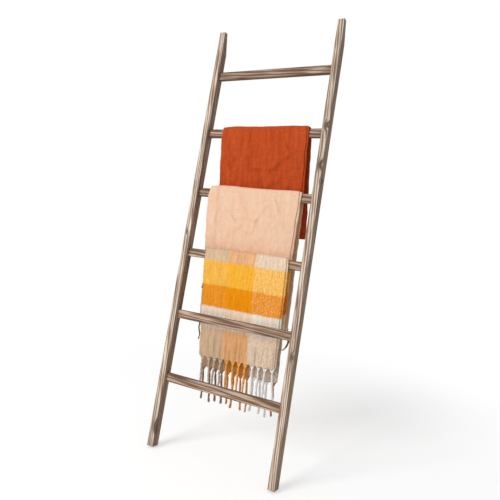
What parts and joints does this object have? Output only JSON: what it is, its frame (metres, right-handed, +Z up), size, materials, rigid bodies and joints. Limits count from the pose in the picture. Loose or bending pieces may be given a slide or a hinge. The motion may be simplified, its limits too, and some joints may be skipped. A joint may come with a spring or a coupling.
{
  "type": "blanket ladder",
  "caption": "Leaning wooden blanket ladder with flat rails and rungs, dressed with folded throws that slide along their rungs.",
  "frame": {"origin": "middle of the footprint, on the floor", "axes": "+X to the right along the rungs, +Y to the wall that the ladder leans on, +Z up"},
  "size_m": [0.545, 0.3696, 1.6697],
  "materials": {
    "rail_wood": "wire-brushed pine with a thin whitewash",
    "rung_wood": "wire-brushed pine with a thin whitewash",
    "tenon_wood": "plain beech",
    "rust_cloth": "creased linen weave",
    "peach_cloth": "soft brushed weave",
    "peach_yarn": "thin twisted yarn",
    "check_cloth": "looped woollen check",
    "check_yarn": "thick twisted yarn"
  },
  "bodies": {
    "ladder": {"rail_left": "rail_wood", "rail_right": "rail_wood", "rung_1": "rung_wood", "rung_2": "rung_wood", "rung_3": "rung_wood", "rung_4": "rung_wood", "rung_5": "rung_wood", "rung_6": "rung_wood", "loose_tenons": "tenon_wood"},
    "rust_throw": {"throw_rust": "rust_cloth"},
    "peach_throw": {"throw_peach": "peach_cloth", "throw_peach_fringe": "peach_yarn"},
    "check_throw": {"throw_check": "check_cloth", "throw_check_fringe": "check_yarn"}
  },
  "joints": [
    {"name": "rust_throw_slide", "type": "slide", "parent": "ladder", "child": "rust_throw", "axis": [1, 0, 0], "range_m": [-0.058, 0.048]},
    {"name": "peach_throw_slide", "type": "slide", "parent": "ladder", "child": "peach_throw", "axis": [1, 0, 0], "range_m": [-0.046, 0.038]},
    {"name": "check_throw_slide", "type": "slide", "parent": "ladder", "child": "check_throw", "axis": [1, 0, 0], "range_m": [-0.08, 0.046]}
  ]
}
